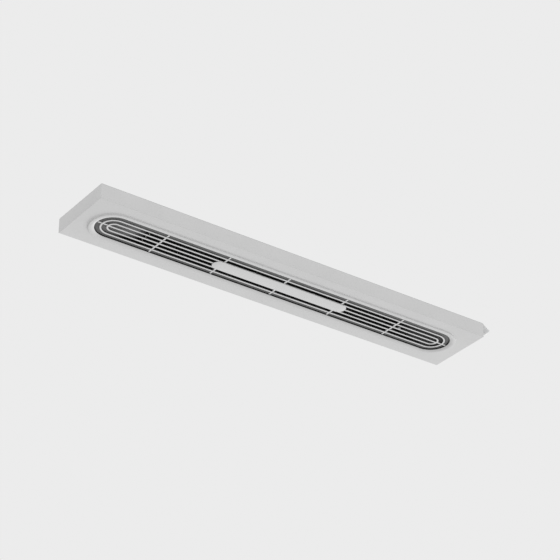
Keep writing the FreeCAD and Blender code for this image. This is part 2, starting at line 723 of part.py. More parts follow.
def plenum_screws():
    seat_z = PLENUM_TOP_Z - WALL
    return both_sides([screw(V(x, -FLANGE_SCREW_Y, seat_z), AXIS_Z, -seat_z) for x in PLENUM_SCREW_X])


def cassette_screws():
    seat_z = CASSETTE_TOP_Z - WALL
    grip = 4 * WALL
    return both_sides([screw(V(x, -FLANGE_SCREW_Y, seat_z), AXIS_Z, grip) for x in CASSETTE_SCREW_X])


def mounting_plate():
    """Flat plate on the ceiling with the duct opening, the screw holes and the fixing ear."""
    half = LENGTH / 2
    z = (-PLATE_THICK, 0)
    slab_half_width = WIDTH / 2 - PLATE_INSET
    slab = box((PLATE_INSET - half, half), (-slab_half_width, slab_half_width), z)
    corners = [
        V(half, -EAR_ROOT_HALF, z[0]),
        V(half + EAR_LENGTH, -EAR_TIP_HALF, z[0]),
        V(half + EAR_LENGTH, EAR_TIP_HALF, z[0]),
        V(half, EAR_ROOT_HALF, z[0]),
    ]
    ear = Part.Face(Part.makePolygon(corners + corners[:1])).extrude(V(0, 0, PLATE_THICK))
    ear = rounded(ear, EAR_CORNER_R, lambda e: e.BoundBox.ZLength > 1 and e.CenterOfMass.x > half + 1)
    duct = box((-DUCT_HALF_X, DUCT_HALF_X), (-DUCT_HALF_Y, DUCT_HALF_Y), z)
    hole_points = [(sx * CEILING_HOLE_X, sy * CEILING_HOLE_Y) for sx in (-1, 1) for sy in (-1, 1)]
    hole_points += [(EAR_HOLE_X, -EAR_HOLE_Y), (EAR_HOLE_X, EAR_HOLE_Y)]
    holes = [rod(SCREW_HOLE_R, V(x, y, z[0]), AXIS_Z, PLATE_THICK) for x, y in hole_points]
    holes += both_sides(flange_screw_holes(PLENUM_SCREW_X, z))
    return join([slab, ear]).cut([duct] + holes)


def casing_nodes():
    return {
        "mounting_plate": mounting_plate(),
        "face_casing": face_casing(),
        "end_cap_left": turned(end_cap(True)),
        "end_cap_right": end_cap_right(),
        "fixing_angle": fixing_angle(),
        "casing_screws": casing_screws(),
        "hook_bracket": hook_bracket(),
        "hang_clips": hang_clips(),
        "bezel_ring": bezel_ring(),
        "bezel_clips": bezel_clips(),
        "rim_rivets": rim_rivets(),
    }


def guard_nodes():
    nodes = {
        "guard_rim": guard_rim(),
        "inner_guard_ring": guard_ring(RING_PITCH),
        "outer_guard_ring": guard_ring(2 * RING_PITCH),
        "spine_bar": spine_bar(),
        "end_tie_left": turned(end_tie()),
        "end_tie_right": end_tie(),
        "centre_plate": centre_plate(),
        "plate_straps": plate_straps(),
        "plate_nuts": plate_nuts(),
        "aperture_plate": aperture_plate(),
    }
    for number in range(1, 6):
        nodes["cross_bar_%d" % number] = cross_bar((number - 3) * CROSS_PITCH)
    return nodes


def duct_nodes():
    return {
        "end_ramp_left": turned(end_ramp()),
        "end_ramp_right": end_ramp(),
        "cassette_rail_near": cassette_rail(),
        "cassette_rail_far": across(cassette_rail()),
        "cassette_end_left": cassette_end_left(),
        "cassette_end_right": cassette_end_right(),
        "bearing_plate": bearing_plate(),
        "pivot_bushes_left": pivot_bushes_left(),
        "pivot_bushes_right": pivot_bushes_right(),
        "plenum_wall_near": plenum_wall(),
        "plenum_wall_far": across(plenum_wall()),
        "plenum_end_left": turned(plenum_end()),
        "plenum_end_right": plenum_end(),
        "plenum_seal": plenum_seal(),
        "plenum_screws": plenum_screws(),
        "cassette_screws": cassette_screws(),
        "adjuster_bracket": adjuster_bracket(),
        "adjuster_bush": adjuster_bush(),
    }


def moving_nodes():
    nodes = {
        "tie_bar": tie_bar(),
        "adjuster_spindle": adjuster_spindle(),
        "adjuster_ring": adjuster_ring(),
    }
    for number, y in enumerate(BLADE_Y, 1):
        nodes["louvre_blade_%d" % number] = louvre_blade(y)
        nodes["pivot_pins_%d" % number] = pivot_pins(y)
        nodes["crank_arm_%d" % number] = crank_arm(y)
    return nodes


def export(name, shape):
    """Write one node as a STEP file: one solid, or a group of separate solids."""
    if isinstance(shape, list):
        shape = Part.makeCompound(shape)
    solids = shape.Solids
    if not shape.isValid() or not solids:
        raise RuntimeError("%s is not a valid solid" % name)
    if len(solids) == 1:
        shape = solids[0]
    shape.exportStep("parts/%s.step" % name)
    size = shape.BoundBox
    print("%-22s %2d solid(s) %9.1f mm3 %7.1f x %6.1f x %5.1f"
          % (name, len(solids), shape.Volume, size.XLength, size.YLength, size.ZLength))


def main():
    os.makedirs("parts", exist_ok=True)
    nodes = {}
    for group in (casing_nodes(), guard_nodes(), duct_nodes(), moving_nodes()):
        nodes.update(group)
    for name, shape in nodes.items():
        export(name, shape)
    print("%d nodes" % len(nodes))


main()
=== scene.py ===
import json
import math

import bmesh
import bpy
from mathutils import Matrix, Vector


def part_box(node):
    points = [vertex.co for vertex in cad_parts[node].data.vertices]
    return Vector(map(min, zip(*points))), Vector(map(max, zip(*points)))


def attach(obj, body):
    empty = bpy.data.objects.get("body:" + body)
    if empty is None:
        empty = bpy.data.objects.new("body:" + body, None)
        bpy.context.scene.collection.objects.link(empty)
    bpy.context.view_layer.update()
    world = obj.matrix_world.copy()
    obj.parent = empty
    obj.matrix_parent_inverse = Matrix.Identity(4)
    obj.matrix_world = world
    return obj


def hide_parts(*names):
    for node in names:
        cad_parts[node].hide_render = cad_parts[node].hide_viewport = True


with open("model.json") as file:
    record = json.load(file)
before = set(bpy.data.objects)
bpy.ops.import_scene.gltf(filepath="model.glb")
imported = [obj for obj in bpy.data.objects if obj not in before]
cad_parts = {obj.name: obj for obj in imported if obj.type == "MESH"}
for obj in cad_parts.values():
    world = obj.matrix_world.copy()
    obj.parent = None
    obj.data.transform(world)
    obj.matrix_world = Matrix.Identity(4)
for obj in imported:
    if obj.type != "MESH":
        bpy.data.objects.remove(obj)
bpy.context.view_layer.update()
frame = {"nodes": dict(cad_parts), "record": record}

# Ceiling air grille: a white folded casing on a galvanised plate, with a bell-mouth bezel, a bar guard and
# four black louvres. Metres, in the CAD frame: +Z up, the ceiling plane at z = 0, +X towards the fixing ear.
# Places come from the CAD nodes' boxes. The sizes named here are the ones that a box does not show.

MM = 0.001

# Fineness of the meshes: straight pieces to each curve
CAP_STEPS = 72
HOLE_STEPS = 36
BORE_STEPS = 24
MARK_STEPS = 24
RAMP_STEPS = 24
BOSS_STEPS = 20
STUD_STEPS = 20
LIP_STEPS = 18
BEAD_STEPS = 16
CORNER_STEPS = 5
EDGE_STEPS = 3

# Merging, shading and the floor's grid
MERGE_DISTANCE = 1e-7
SMOOTH_ANGLE = math.radians(32)
FLOOR_CELLS = 8

# How many of each
CROSS_BARS = 5
LOUVRES = 4
FLANGE_SCREWS_PER_SIDE = 4
BRACKET_WELDS = 4

# Edges and bends
EDGE = 0.3 * MM
HAIRLINE = 0.12 * MM
BEND = 1.0 * MM
CAP_EDGE = 0.8 * MM

# Casing and mounting plate
RETURN_FLANGE = 12 * MM
CAP_TAB = 10 * MM
CAP_TAB_HALF = 60 * MM
PLATE_CORNER = 1.5 * MM
EAR_ROOT_HALF = 98 * MM
EAR_TIP_HALF = 75.6 * MM
EAR_CORNER = 3 * MM
CAP_SCREW_HOLE = 1.7 * MM
FLANGE_SCREW_HOLE = 1.5 * MM
SCREW_HEAD = 3.2 * MM
CLIP_HALF = 12 * MM

# Spot welds: each mark steps down through rings, given as shares of its radius and of its depth
SPOT_WELD = 2.6 * MM
SPOT_DEPTH = 0.15 * MM
SPOT_RINGS = ((1.0, 0.0), (0.9, 0.7), (0.75, 1.0))
WELD_MARGIN = 7 * MM
BRACKET_WELD_PITCH = 30 * MM
CLIP_WELD_GAP = 28 * MM
CLIP_WELD_SPREAD = 6 * MM

# Bezel, guard and louvres
BEZEL_WALL = 1.5 * MM
HOLE_GAP = 0.2 * MM
LIP_R = 64.4 * MM
LIP_EDGE = 0.6 * MM
LIP_FLARE = 20 * MM
LIP_SEAT = 3.2 * MM
PLATE_ROLL = 0.5 * MM
STUD_R = 1.5 * MM
STRAP_WIDTH = 10 * MM
RAIL_BEND = 1.2 * MM
RIM_THICK = 1.2 * MM
RAIL_FOOT_Y = 44 * MM
FLANGE_Y = 46 * MM
END_FLANGE = 10 * MM
BLADE_WEB = 1.0 * MM
BLADE_BEAD = 0.8 * MM
BLADE_BOSS = 2.6 * MM
BLADE_BORE = 1.5 * MM


# ---------------------------------------------------------------- mesh tools

# A section's (u, v) placed across the named axis, at w along it

def along_x(u, v, w):
    return Vector((w, u, v))


def along_y(u, v, w):
    return Vector((u, w, v))


def along_z(u, v, w):
    return Vector((u, v, w))


def build(name, bm, node):
    """Turn a bmesh into a shaded piece that stands for one CAD node and rides on its body."""
    bmesh.ops.remove_doubles(bm, verts=bm.verts, dist=MERGE_DISTANCE)
    bmesh.ops.recalc_face_normals(bm, faces=bm.faces)
    mesh = bpy.data.meshes.new(name)
    bm.to_mesh(mesh)
    bm.free()
    mesh.shade_smooth()
    mesh.set_sharp_from_angle(angle=SMOOTH_ANGLE)
    mesh.materials.append(MATERIALS[SLOT_OF[node]])
    piece = bpy.data.objects.new(name, mesh)
    bpy.context.scene.collection.objects.link(piece)
    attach(piece, BODY_OF[node])
    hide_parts(node)


def bridge(bm, rows, closed=False):
    """Quads between successive loops of vertices."""
    pairs = list(zip(rows, rows[1:]))
    if closed:
        pairs.append((rows[-1], rows[0]))
    for a, b in pairs:
        for i in range(len(a)):
            bm.faces.new((a[i - 1], a[i], b[i], b[i - 1]))


def fill(bm, loops):
    """Flat faces inside the first loop of vertices and outside the others."""
    edges = []
    for loop in loops:
        for i in range(len(loop)):
            pair = (loop[i - 1], loop[i])
            edges.append(bm.edges.get(pair) or bm.edges.new(pair))
    bmesh.ops.triangle_fill(bm, edges=edges, use_beauty=True, use_dissolve=False)


def arc(centre, radius, start, end, steps):
    """Points from start to end, in degrees, about the centre."""
    points = []
    for i in range(steps + 1):
        angle = math.radians(start + (end - start) * i / steps)
        points.append(Vector((centre[0] + radius * math.cos(angle), centre[1] + radius * math.sin(angle))))
    return points


def circle(centre, radius, steps=HOLE_STEPS):
    return arc(centre, radius, 0, 360, steps)[:-1]


def stadium(radius, cap_x):
    """Outline with straight sides along X and half-round ends about (cap_x, 0) and (-cap_x, 0)."""
    return arc((cap_x, 0), radius, -90, 90, CAP_STEPS) + arc((-cap_x, 0), radius, 90, 270, CAP_STEPS)


def rounded_polygon(corners):
    """Closed outline through (u, v, radius) corners, each rounded to its radius."""
    points = []
    for i, (u, v, radius) in enumerate(corners):
        here = Vector((u, v))
        to_last = (Vector(corners[i - 1][:2]) - here).normalized()
        to_next = (Vector(corners[(i + 1) % len(corners)][:2]) - here).normalized()
        half = to_last.angle(to_next) / 2
        if radius == 0:
            points.append(here)
            continue
        centre = here + (to_last + to_next).normalized() * radius / math.sin(half)
        first = here + to_last * radius / math.tan(half) - centre
        turn = (here + to_next * radius / math.tan(half) - centre).angle_signed(first)
        for step in range(CORNER_STEPS + 1):
            spin = turn * step / CORNER_STEPS
            points.append(centre + Matrix.Rotation(spin, 2) @ first)
    return points


def rectangle(u, v, radius=0.0):
    """Anticlockwise outline between the pairs of limits u and v."""
    places = ((u[0], v[0]), (u[1], v[0]), (u[1], v[1]), (u[0], v[1]))
    return rounded_polygon([(a, b, radius) for a, b in places])


def inset(loop, distance):
    """Anticlockwise outline moved inwards, or clockwise outline moved outwards."""
    moved = []
    for i, here in enumerate(loop):
        along_last = (here - loop[i - 1]).normalized()
        along_next = (loop[(i + 1) % len(loop)] - here).normalized()
        left_last = Vector((-along_last.y, along_last.x))
        left_next = Vector((-along_next.y, along_next.x))
        moved.append(here + (left_last + left_next) * distance / (1 + left_last.dot(left_next)))
    return moved


def edge_rows(w, edges):
    """(inset, w) stations across a plate's thickness, rounding its two edges."""
    rows = []
    for radius, level, side in ((edges[0], w[0], 1), (edges[1], w[1], -1)):
        quarter = []
        for step in range(EDGE_STEPS + 1):
            angle = math.radians(90 * step / EDGE_STEPS)
            quarter.append((radius * (1 - math.sin(angle)), level + side * radius * (1 - math.cos(angle))))
        rows.append(quarter if radius else quarter[:1])
    return rows[0] + rows[1][::-1]


def dimple(bm, centre, z):
    """Shallow round electrode mark sunk into a top face; returns its rim."""
    rows = []
    for width, depth in SPOT_RINGS:
        ring = circle(centre, SPOT_WELD * width, MARK_STEPS)
        rows.append([bm.verts.new((p.x, p.y, z - SPOT_DEPTH * depth)) for p in ring])
    bridge(bm, rows)
    bm.faces.new(rows[-1])
    return rows[0]


def solid(bm, outline, w, edges=(0.0, 0.0), holes=(), place=along_z, dimples=()):
    """Plate or bar of the anticlockwise outline, from w[0] to w[1], with holes and rounded edges."""
    stations = edge_rows(w, edges)
    loops_low, loops_high = [], []
    for loop in [outline] + [hole[::-1] for hole in holes]:
        rows = []
        for depth, level in stations:
            rows.append([bm.verts.new(place(p.x, p.y, level)) for p in inset(loop, depth)])
        bridge(bm, rows)
        loops_low.append(rows[0])
        loops_high.append(rows[-1])
    fill(bm, loops_low)
    fill(bm, loops_high + [dimple(bm, centre, w[1]) for centre in dimples])


def rounded_block(bm, low, high, edge):
    """Bar between two corners, rounded along every edge."""
    solid(bm, rectangle((low.x, high.x), (low.y, high.y), edge), (low.z, high.z), (edge, edge))


# ---------------------------------------------------------------- materials

NOISE_SPAN = (0.3, 0.7)              # most of a noise's values lie between these
MIX_A, MIX_B, MIX_RESULT = 6, 7, 2   # a mix node's colour sockets, which share names with its others
WEAR_SAMPLES = 6
WEAR_START, WEAR_FULL = 0.97, 0.80   # cosines of the lean at which edge wear begins and is complete


class Nodes:
    """Short names for building one material's node tree."""

    def __init__(self, name):
        self.material = bpy.data.materials.new(name)
        self.material.use_nodes = True
        self.tree = self.material.node_tree
        self.shader = self.tree.nodes["Principled BSDF"]
        self.position = self.add("ShaderNodeTexCoord").outputs["Object"]

    def add(self, kind, **inputs):
        node = self.tree.nodes.new(kind)
        for key, value in inputs.items():
            self.put(node, key, value)
        return node

    def put(self, node, key, value):
        self.feed(node.inputs[key.replace("_", " ")], value)

    def feed(self, socket, value):
        """Link the socket to another, or give it a plain value."""
        if isinstance(value, bpy.types.NodeSocket):
            self.tree.links.new(value, socket)
        else:
            socket.default_value = value

    def set(self, **inputs):
        for key, value in inputs.items():
            self.put(self.shader, key, value)

    def noise(self, scale, detail=4.0, roughness=0.55, stretch=(1, 1, 1)):
        mapping = self.add("ShaderNodeMapping", Vector=self.position, Scale=stretch)
        node = self.add("ShaderNodeTexNoise", Vector=mapping.outputs["Vector"], Scale=scale, Detail=detail,
                        Roughness=roughness)
        return node.outputs["Fac"]

    def cells(self, scale):
        return self.add("ShaderNodeTexVoronoi", Vector=self.position, Scale=scale)

    def ramp(self, value, low, high, out_low=0.0, out_high=1.0):
        node = self.add("ShaderNodeMapRange", Value=value)
        for key, number in (("From Min", low), ("From Max", high), ("To Min", out_low), ("To Max", out_high)):
            node.inputs[key].default_value = number
        return node.outputs["Result"]

    def blend(self, share, a, b):
        """Colour between a and b."""
        node = self.tree.nodes.new("ShaderNodeMix")
        node.data_type = "RGBA"
        self.put(node, "Factor", share)
        self.feed(node.inputs[MIX_A], a)
        self.feed(node.inputs[MIX_B], b)
        return node.outputs[MIX_RESULT]

    def bump(self, height, distance, strength=1.0, normal=None):
        node = self.add("ShaderNodeBump", Height=height, Distance=distance, Strength=strength)
        if normal is not None:
            self.put(node, "Normal", normal)
        return node.outputs["Normal"]

    def edge_wear(self, radius):
        """1 on sharp edges and 0 on flats, from how far the rounded normal leans off the true one."""
        bevel = self.add("ShaderNodeBevel", Radius=radius)
        bevel.samples = WEAR_SAMPLES
        geometry = self.add("ShaderNodeNewGeometry")
        dot = self.tree.nodes.new("ShaderNodeVectorMath")
        dot.operation = "DOT_PRODUCT"
        self.tree.links.new(bevel.outputs["Normal"], dot.inputs[0])
        self.tree.links.new(geometry.outputs["Normal"], dot.inputs[1])
        return self.ramp(dot.outputs["Value"], WEAR_START, WEAR_FULL)


def grey(value, tint=0.0):
    """Linear colour; tint leans it a little to the blue."""
    return (value * (1 - tint), value, value * (1 + tint), 1)


def powder_coat(name, value, texture, roughness, gloss=0.35, tint=0.0):
    """Sprayed and baked coat: orange-peel swell, fine grain, faint mottling and rubbed edges."""
    n = Nodes(name)
    mottle = n.noise(scale=9, detail=3)
    specks = n.ramp(n.noise(scale=1400, detail=2), low=0.66, high=0.74)
    body = n.blend(n.ramp(mottle, *NOISE_SPAN), grey(value * 0.975, tint), grey(value * 1.012, tint))
    body = n.blend(specks, body, grey(value * 0.93, tint))
    rub = n.edge_wear(radius=0.5 * MM)
    body = n.blend(rub, body, grey(min(1.0, value * 1.05 + 0.01), tint))
    peel = n.noise(scale=420, detail=2, roughness=0.4)
    grain = n.cells(scale=2600).outputs["Distance"]
    normal = n.bump(peel, distance=0.05 * MM * texture, strength=0.5)
    normal = n.bump(grain, distance=0.02 * MM * texture, strength=0.35, normal=normal)
    sheen = n.ramp(peel, *NOISE_SPAN, out_low=roughness - 0.05, out_high=roughness + 0.06)
    n.set(Base_Color=body, Normal=normal, Roughness=sheen)
    n.set(Specular_IOR_Level=gloss)
    return n.material


def moulded_plastic(name, value, roughness):
    """Injection-moulded ABS: spark-eroded grain, slow sink ripple and slight gate shading."""
    n = Nodes(name)
    drift = n.noise(scale=6, detail=2)
    body = n.blend(n.ramp(drift, *NOISE_SPAN), grey(value * 0.98), grey(value * 1.01))
    spark = n.cells(scale=1900).outputs["Distance"]
    ripple = n.noise(scale=60, detail=1)
    normal = n.bump(ripple, distance=0.10 * MM, strength=0.15)
    normal = n.bump(spark, distance=0.02 * MM, strength=0.35, normal=normal)
    sheen = n.ramp(spark, low=0.0, high=1.0, out_low=roughness, out_high=roughness + 0.1)
    n.set(Base_Color=body, Normal=normal, Roughness=sheen)
    n.set(Specular_IOR_Level=0.2)
    return n.material


def black_anodised(name, value):
    """Matt black extrusion: die lines along the length, and dust lying in them."""
    n = Nodes(name)
    lines = n.noise(scale=900, detail=2, stretch=(0.01, 1, 1))
    dust = n.ramp(n.noise(scale=55, detail=5), low=0.55, high=0.8)
    body = n.blend(dust, grey(value), grey(value * 2.1))
    sheen = n.ramp(lines, *NOISE_SPAN, out_low=0.62, out_high=0.78)
    n.set(Base_Color=body, Normal=n.bump(lines, distance=0.02 * MM, strength=0.5), Roughness=sheen)
    n.set(Specular_IOR_Level=0.15)
    return n.material


def galvanised(name, value):
    """Hot-dip zinc sheet: spangle cells of differing brightness with dull patches."""
    n = Nodes(name)
    spangle = n.cells(scale=190)
    flakes = n.ramp(spangle.outputs["Color"], low=0.0, high=1.0)
    body = n.blend(flakes, grey(value * 0.93, 0.006), grey(value * 1.06, 0.006))
    dull = n.ramp(n.noise(scale=24, detail=5), low=0.4, high=0.75)
    body = n.blend(dull, body, grey(value * 0.86, 0.004))
    normal = n.bump(spangle.outputs["Distance"], distance=0.02 * MM, strength=0.15)
    sheen = n.ramp(flakes, low=0, high=1, out_low=0.4, out_high=0.48)
    n.set(Base_Color=body, Normal=normal, Metallic=0.85, Roughness=sheen)
    return n.material


def plated(name, value, roughness, grain=1500, tint=0.01):
    """Zinc-plated or ground steel: tool marks, slight clouding and bright edges."""
    n = Nodes(name)
    cloud = n.ramp(n.noise(scale=300, detail=4), low=0.35, high=0.7)
    body = n.blend(cloud, grey(value, tint), grey(value * 0.82, tint))
    body = n.blend(n.edge_wear(radius=0.2 * MM), body, grey(min(1.0, value * 1.25)))
    marks = n.noise(scale=grain, detail=3)
    sheen = n.ramp(cloud, low=0, high=1, out_low=roughness, out_high=roughness + 0.12)
    n.set(Base_Color=body, Metallic=1.0, Roughness=sheen)
    n.set(Normal=n.bump(marks, distance=0.01 * MM, strength=0.4))
    return n.material


def nylon(name):
    """Turned natural nylon: slightly waxy, with light under its surface."""
    n = Nodes(name)
    cloud = n.noise(scale=500, detail=3)
    body = n.blend(n.ramp(cloud, *NOISE_SPAN), (0.72, 0.71, 0.66, 1), (0.78, 0.77, 0.73, 1))
    n.set(Base_Color=body, Roughness=0.42, Normal=n.bump(cloud, distance=0.02 * MM, strength=0.3))
    n.set(Subsurface_Weight=0.15, Subsurface_Scale=MM, Subsurface_Radius=(1, 1, 1))
    return n.material


def closed_cell_foam(name):
    """Black foam strip: small open cells on its cut sides, painted darker towards each cell's middle as
    shade.
    """
    n = Nodes(name)
    pores = n.cells(scale=900)
    # Painted shade: each cell is darker towards its middle, where the bump below sinks it.
    depth = n.ramp(pores.outputs["Distance"], low=0.0, high=0.6)
    body = n.blend(depth, grey(0.012), grey(0.045))
    normal = n.bump(pores.outputs["Distance"], distance=0.15 * MM, strength=0.8)
    n.set(Base_Color=body, Roughness=0.92, Normal=normal)
    return n.material


def pale_floor(name):
    """Matt painted studio floor."""
    n = Nodes(name)
    cloud = n.noise(scale=0.7, detail=4)
    n.set(Base_Color=n.blend(n.ramp(cloud, *NOISE_SPAN), grey(0.79), grey(0.81)), Roughness=0.9)
    n.set(Normal=n.bump(n.noise(scale=60, detail=3), distance=0.5 * MM, strength=0.1))
    return n.material


MATERIALS = {
    "white_coat": powder_coat("white_coat", 0.68, texture=1.0, roughness=0.62, gloss=0.18),
    "guard_coat": powder_coat("guard_coat", 0.705, texture=0.6, roughness=0.56, gloss=0.2),
    "grey_coat": powder_coat("grey_coat", 0.12, texture=1.0, roughness=0.6),
    # Charcoal coat: on the right end ramp this is painted shade, a darker copy of the left ramp's grey coat
    # for the side that the key light does not reach.
    "charcoal_coat": powder_coat("charcoal_coat", 0.03, texture=1.0, roughness=0.7, gloss=0.2),
    "black_coat": powder_coat("black_coat", 0.008, texture=1.0, roughness=0.75, gloss=0.15),
    "bezel_plastic": moulded_plastic("bezel_plastic", 0.668, roughness=0.5),
    "black_blade": black_anodised("black_blade", 0.008),
    "galvanised": galvanised("galvanised", 0.455),
    "zinc_plate": plated("zinc_plate", 0.62, roughness=0.3),
    "zinc_screw": plated("zinc_screw", 0.66, roughness=0.24, grain=2600),
    "spring_steel": plated("spring_steel", 0.26, roughness=0.34, tint=0.03),
    "pin_steel": plated("pin_steel", 0.6, roughness=0.18, grain=3000),
    "nylon": nylon("nylon"),
    "foam_seal": closed_cell_foam("foam_seal"),
}

SLOT_OF = {entry["node"]: entry["material_slot"] for entry in frame["record"]["subparts"]}
BODY_OF = {node: body for body, nodes in frame["record"]["behaviour"]["bodies"].items() for node in nodes}


def coat_cad_nodes():
    """Give every CAD node the material of its slot; those that a piece replaces stay hidden."""
    for name, node in frame["nodes"].items():
        node.data.materials.clear()
        node.data.materials.append(MATERIALS[SLOT_OF[name]])


# ---------------------------------------------------------------- sizes from the frame

low_of = {name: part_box(name)[0] for name in frame["nodes"]}
high_of = {name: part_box(name)[1] for name in frame["nodes"]}
SHEET = high_of["mounting_plate"].z - low_of["mounting_plate"].z
HALF_LENGTH = high_of["end_cap_right"].x
HALF_WIDTH = high_of["face_casing"].y
FACE_Z = low_of["face_casing"].z
CASING_TOP_Z = high_of["face_casing"].z
RIM_OUTER = high_of["guard_rim"].y
CAP_X = high_of["guard_rim"].x - RIM_OUTER
BAR_WIDTH = high_of["spine_bar"].y - low_of["spine_bar"].y
RING_PITCH = high_of["inner_guard_ring"].y - BAR_WIDTH / 2
CROSS_PITCH = low_of["cross_bar_4"].x - low_of["cross_bar_3"].x
DUCT_HALF_X = high_of["plenum_wall_near"].x
DUCT_HALF_Y = high_of["cassette_end_right"].y
WALL = high_of["aperture_plate"].z - low_of["aperture_plate"].z


# ---------------------------------------------------------------- casing

def casing_profile():
    """Section of the folded channel: face, two walls and inward return flanges."""
    y, top, floor = HALF_WIDTH, CASING_TOP_Z, FACE_Z
    inside, lip = y - SHEET, y - SHEET - RETURN_FLANGE
    half = [(y, floor, BEND), (y, top, BEND), (lip, top, EDGE), (lip, top - SHEET, EDGE)]
    half += [(inside, top - SHEET, EDGE), (inside, floor + SHEET, EDGE)]
    other = [(-u, v, radius) for u, v, radius in reversed(half)]
    return rounded_polygon(half + other)


def make_casing():
    """Channel drawn along X. Both sides of its face are filled round the hole, and a wall joins them."""
    bm = bmesh.new()
    span = (low_of["face_casing"].x, high_of["face_casing"].x)
    profile = casing_profile()
    rows = [[bm.verts.new(along_x(p.x, p.y, x)) for p in profile] for x in span]
    faces_with_hole = []
    for i, here in enumerate(profile):
        quad = [rows[0][i - 1], rows[0][i], rows[1][i], rows[1][i - 1]]
        if abs(here.x - profile[i - 1].x) > HALF_WIDTH:
            faces_with_hole.append(quad)
        else:
            bm.faces.new(quad)
    hole_radius = RIM_OUTER + BEZEL_WALL + HOLE_GAP
    holes = [[bm.verts.new(along_z(p.x, p.y, quad[0].co.z)) for p in stadium(hole_radius, CAP_X)]
             for quad in faces_with_hole]
    for quad, hole in zip(faces_with_hole, holes):
        fill(bm, [quad, hole])
    bridge(bm, holes)
    fill(bm, [rows[0]])
    fill(bm, [rows[1]])
    build("casing", bm, "face_casing")


def make_end_cap(node, piece, side, with_flange):
    """End wall with its folded tab: the left one has a top flange, the right one two screw holes."""
    bm = bmesh.new()
    outer, inner = side * HALF_LENGTH, side * (HALF_LENGTH - SHEET)
    wall = rounded_polygon([(-HALF_WIDTH, FACE_Z, BEND), (HALF_WIDTH, FACE_Z, BEND),
                            (HALF_WIDTH, CASING_TOP_Z, BEND), (-HALF_WIDTH, CASING_TOP_Z, BEND)])
    holes = []
    if not with_flange:
        low, high = low_of["casing_screws"], high_of["casing_screws"]
        head = (high.z - low.z) / 2
        middle = (low.z + high.z) / 2
        holes = [circle((y, middle), CAP_SCREW_HOLE) for y in (low.y + head, high.y - head)]
    edges = (HAIRLINE, CAP_EDGE) if side > 0 else (CAP_EDGE, HAIRLINE)
    solid(bm, wall, sorted((inner, outer)), edges, holes, place=along_x)
    tab_x = sorted((inner, inner - side * CAP_TAB))
    tab_z = FACE_Z + SHEET
    tab_low = Vector((tab_x[0], -CAP_TAB_HALF, tab_z))
    tab_high = Vector((tab_x[1], CAP_TAB_HALF, tab_z + SHEET))
    rounded_block(bm, tab_low, tab_high, EDGE)
    if with_flange:
        flange_y = HALF_WIDTH - SHEET - RETURN_FLANGE
        flange_low = Vector((tab_x[0], -flange_y, CASING_TOP_Z - SHEET))
        flange_high = Vector((tab_x[1], flange_y, CASING_TOP_Z))
        rounded_block(bm, flange_low, flange_high, EDGE)
    build(piece, bm, node)


def mounting_outline():
    """Plate and fixing ear in one outline."""
    left, ear = low_of["mounting_plate"].x, high_of["mounting_plate"].x
    side = high_of["mounting_plate"].y
    half = [(HALF_LENGTH, side, 0), (left, side, PLATE_CORNER)]
    far = [(ear, EAR_TIP_HALF, EAR_CORNER), (HALF_LENGTH, EAR_ROOT_HALF, 0)] + half
    near = [(u, -v, radius) for u, v, radius in reversed(far)]
    return rounded_polygon(near + far)


def bolt_centres(mount):
    """Hole centres of a bolt pattern mount, as a set because a single row names each centre twice."""
    x, y = mount["pos_m"][:2]
    half_x = mount["dims"].get("spacing_x_mm", 0) * MM / 2
    half_y = mount["dims"]["spacing_y_mm"] * MM / 2
    return {(x + sx * half_x, y + sy * half_y) for sx in (-1, 1) for sy in (-1, 1)}


def row_between(node, radius, count):
    """Evenly spaced centres of a row of screws along X, from the box of their node."""
    first, last = low_of[node].x + radius, high_of[node].x - radius
    return [first + (last - first) * i / (count - 1) for i in range(count)]


def mounting_holes():
    """The duct opening, the mounts' screw holes and those of the plenum's screws."""
    holes = [rectangle((-DUCT_HALF_X, DUCT_HALF_X), (-DUCT_HALF_Y, DUCT_HALF_Y), 2 * EDGE)]
    for mount in frame["record"]["mounts"]:
        if mount["kind"] == "bolt_pattern":
            radius = mount["dims"]["hole_r_mm"] * MM
            holes += [circle(centre, radius) for centre in sorted(bolt_centres(mount))]
    screw_y = high_of["plenum_screws"].y - SCREW_HEAD
    for x in row_between("plenum_screws", SCREW_HEAD, FLANGE_SCREWS_PER_SIDE):
        holes += [circle((x, y), FLANGE_SCREW_HOLE) for y in (-screw_y, screw_y)]
    return holes


def weld_centres():
    """Spot welds over the hook bracket, the fixing angle and the hang clips."""
    hook_x = high_of["hook_bracket"].x - WELD_MARGIN
    angle_x = low_of["fixing_angle"].x + WELD_MARGIN
    row = [(i - (BRACKET_WELDS - 1) / 2) * BRACKET_WELD_PITCH for i in range(BRACKET_WELDS)]
    centres = [(x, y) for x in (hook_x, angle_x) for y in row]
    clip_y = high_of["plenum_wall_far"].y + CLIP_WELD_GAP
    clip_x = high_of["hang_clips"].x - CLIP_HALF
    for x in (-clip_x, 0, clip_x):
        for dx in (-CLIP_WELD_SPREAD, CLIP_WELD_SPREAD):
            centres += [(x + dx, y) for y in (-clip_y, clip_y)]
    return centres


def make_mounting_plate():
    """Plate with its ear, holes and the shallow marks of the spot welds on its ceiling side."""
    bm = bmesh.new()
    z = (low_of["mounting_plate"].z, high_of["mounting_plate"].z)
    solid(bm, mounting_outline(), z, (EDGE / 2, EDGE / 2), mounting_holes(), dimples=weld_centres())
    build("mounting_sheet", bm, "mounting_plate")


# ---------------------------------------------------------------- bezel and guard

